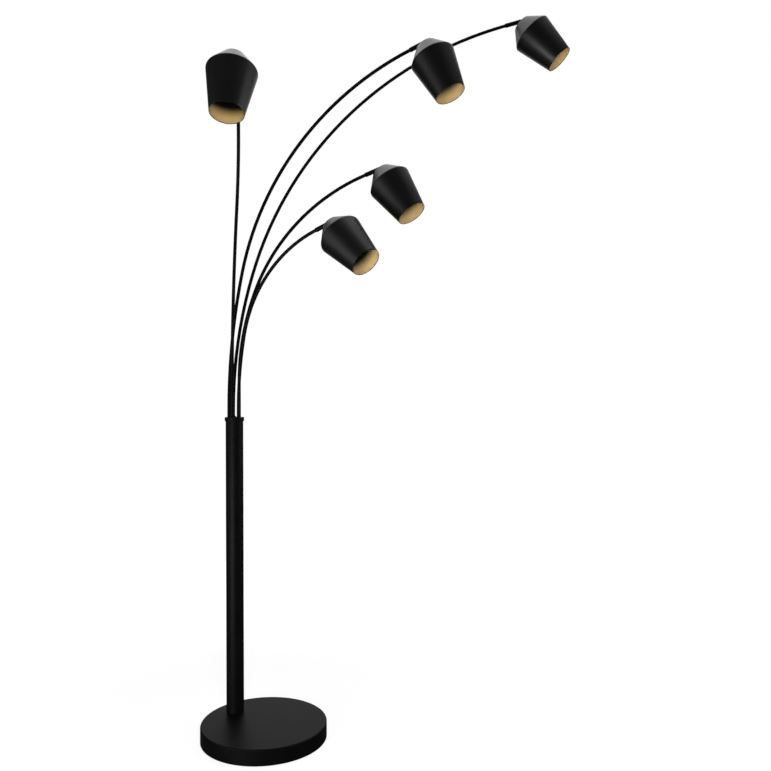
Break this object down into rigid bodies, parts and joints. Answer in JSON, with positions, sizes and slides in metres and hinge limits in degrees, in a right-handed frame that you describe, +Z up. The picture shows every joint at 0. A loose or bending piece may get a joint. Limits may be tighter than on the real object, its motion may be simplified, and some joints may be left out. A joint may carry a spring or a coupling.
{
  "type": "tree floor lamp",
  "caption": "Floor lamp with a round base, an offset column and bent arms that fan out to double-cone shades; arms turn, sleeves swivel and shades tilt.",
  "frame": {"origin": "centre of the base on the floor, at the underside of its middle foot", "axes": "+Z up; +X from the column to the base centre, the side that the arms lean out to"},
  "size_m": [0.7795, 1.0521, 2.0933],
  "materials": {
    "matte_black_steel": "fine matte black powder coat on steel tube and pressed steel",
    "shade_paint": "matte black powder coat outside, satin gold lacquer inside",
    "cast_iron": "as cast, primed",
    "zinc_steel": "zinc plated",
    "rubber": "matte",
    "black_nylon": "moulded",
    "white_plastic": "moulded",
    "black_plastic": "moulded thermoplastic",
    "brass": "turned",
    "lead_sheath": "extruded sheath"
  },
  "bodies": {
    "root": {"base_cover": "matte_black_steel", "base_weight": "cast_iron", "base_plate": "zinc_steel", "base_screws": "zinc_steel", "base_feet": "rubber", "cord_bush": "black_nylon", "column_tube": "matte_black_steel", "column_plug": "zinc_steel", "tie_nipple": "zinc_steel", "tie_washer": "zinc_steel", "tie_nut": "zinc_steel", "column_cap": "matte_black_steel", "arm_bushes": "black_nylon", "arm_guide": "zinc_steel", "guide_spacer": "zinc_steel", "cap_bolt": "matte_black_steel", "cap_nut": "zinc_steel", "lead_block": "white_plastic"},
    "arm_lower": {"arm_tube_lower": "matte_black_steel", "arm_foot_lower": "brass", "arm_lead_lower": "lead_sheath"},
    "swivel_lower": {"sleeve_lower": "matte_black_steel", "hinge_pin_lower": "matte_black_steel"},
    "head_lower": {"shade_stem_lower": "matte_black_steel", "shade_lower": "shade_paint", "lampholder_lower": "black_plastic"},
    "arm_middle": {"arm_tube_middle": "matte_black_steel", "arm_foot_middle": "brass", "arm_lead_middle": "lead_sheath"},
    "swivel_middle": {"sleeve_middle": "matte_black_steel", "hinge_pin_middle": "matte_black_steel"},
    "head_middle": {"shade_stem_middle": "matte_black_steel", "shade_middle": "shade_paint", "lampholder_middle": "black_plastic"},
    "arm_top": {"arm_tube_top": "matte_black_steel", "arm_foot_top": "brass", "arm_lead_top": "lead_sheath"},
    "swivel_top": {"sleeve_top": "matte_black_steel", "hinge_pin_top": "matte_black_steel"},
    "head_top": {"shade_stem_top": "matte_black_steel", "shade_top": "shade_paint", "lampholder_top": "black_plastic"},
    "arm_upper": {"arm_tube_upper": "matte_black_steel", "arm_foot_upper": "brass", "arm_lead_upper": "lead_sheath"},
    "swivel_upper": {"sleeve_upper": "matte_black_steel", "hinge_pin_upper": "matte_black_steel"},
    "head_upper": {"shade_stem_upper": "matte_black_steel", "shade_upper": "shade_paint", "lampholder_upper": "black_plastic"},
    "arm_front": {"arm_tube_front": "matte_black_steel", "arm_foot_front": "brass", "arm_lead_front": "lead_sheath"},
    "swivel_front": {"sleeve_front": "matte_black_steel", "hinge_pin_front": "matte_black_steel"},
    "head_front": {"shade_stem_front": "matte_black_steel", "shade_front": "shade_paint", "lampholder_front": "black_plastic"}
  },
  "joints": [
    {"name": "lower_arm_turn", "type": "hinge", "parent": "root", "child": "arm_lower", "pos_m": [-0.10254, 0.00108, 0.893], "axis": [0, 0, 1], "range_deg": [-10, 10]},
    {"name": "lower_sleeve_swivel", "type": "hinge", "parent": "arm_lower", "child": "swivel_lower", "pos_m": [0.15007, 0.05248, 1.4069], "axis": [0.9179, 0.1867, 0.3502], "range_deg": [-90, 90]},
    {"name": "lower_shade_tilt", "type": "hinge", "parent": "swivel_lower", "child": "head_lower", "pos_m": [0.19138, 0.06088, 1.42266], "axis": [-0.1367, 0.9772, -0.1627], "range_deg": [-53.8, 28.2]},
    {"name": "middle_arm_turn", "type": "hinge", "parent": "root", "child": "arm_middle", "pos_m": [-0.11425, 0.01504, 0.893], "axis": [0, 0, 1], "range_deg": [-10, 10]},
    {"name": "middle_sleeve_swivel", "type": "hinge", "parent": "arm_middle", "child": "swivel_middle", "pos_m": [0.19182, 0.21341, 1.58001], "axis": [0.7468, 0.54, 0.3882], "range_deg": [-90, 90]},
    {"name": "middle_shade_tilt", "type": "hinge", "parent": "swivel_middle", "child": "head_middle", "pos_m": [0.22542, 0.23771, 1.59748], "axis": [-0.4629, 0.8412, -0.2796], "range_deg": [-69.9, 12.1]},
    {"name": "top_arm_turn", "type": "hinge", "parent": "root", "child": "arm_top", "pos_m": [-0.13114, 0.00821, 0.893], "axis": [0, 0, 1], "range_deg": [-10, 10]},
    {"name": "top_sleeve_swivel", "type": "hinge", "parent": "arm_top", "child": "swivel_top", "pos_m": [0.42644, 0.598, 2.06872], "axis": [0.7547, 0.5955, 0.2753], "range_deg": [-90, 90]},
    {"name": "top_shade_tilt", "type": "hinge", "parent": "swivel_top", "child": "head_top", "pos_m": [0.4604, 0.6248, 2.08111], "axis": [-0.5625, 0.8033, -0.1956], "range_deg": [-54, 28]},
    {"name": "upper_arm_turn", "type": "hinge", "parent": "root", "child": "arm_upper", "pos_m": [-0.12987, -0.00996, 0.893], "axis": [0, 0, 1], "range_deg": [-10, 10]},
    {"name": "upper_sleeve_swivel", "type": "hinge", "parent": "arm_upper", "child": "swivel_upper", "pos_m": [0.33892, 0.22479, 1.9003], "axis": [0.8187, 0.41, 0.4019], "range_deg": [-90, 90]},
    {"name": "upper_shade_tilt", "type": "hinge", "parent": "swivel_upper", "child": "head_upper", "pos_m": [0.37576, 0.24324, 1.91838], "axis": [-0.3853, 0.9114, -0.1448], "range_deg": [-78, 4]},
    {"name": "front_arm_turn", "type": "hinge", "parent": "root", "child": "arm_front", "pos_m": [-0.11219, -0.01437, 0.893], "axis": [0, 0, 1], "range_deg": [-10, 10]},
    {"name": "front_sleeve_swivel", "type": "hinge", "parent": "arm_front", "child": "swivel_front", "pos_m": [0.12942, -0.21743, 1.77585], "axis": [0.6685, -0.6926, 0.2709], "range_deg": [-90, 90]},
    {"name": "front_shade_tilt", "type": "hinge", "parent": "swivel_front", "child": "head_front", "pos_m": [0.1595, -0.24859, 1.78804], "axis": [0.7322, 0.6767, -0.0768], "range_deg": [-75.5, 6.5]}
  ]
}
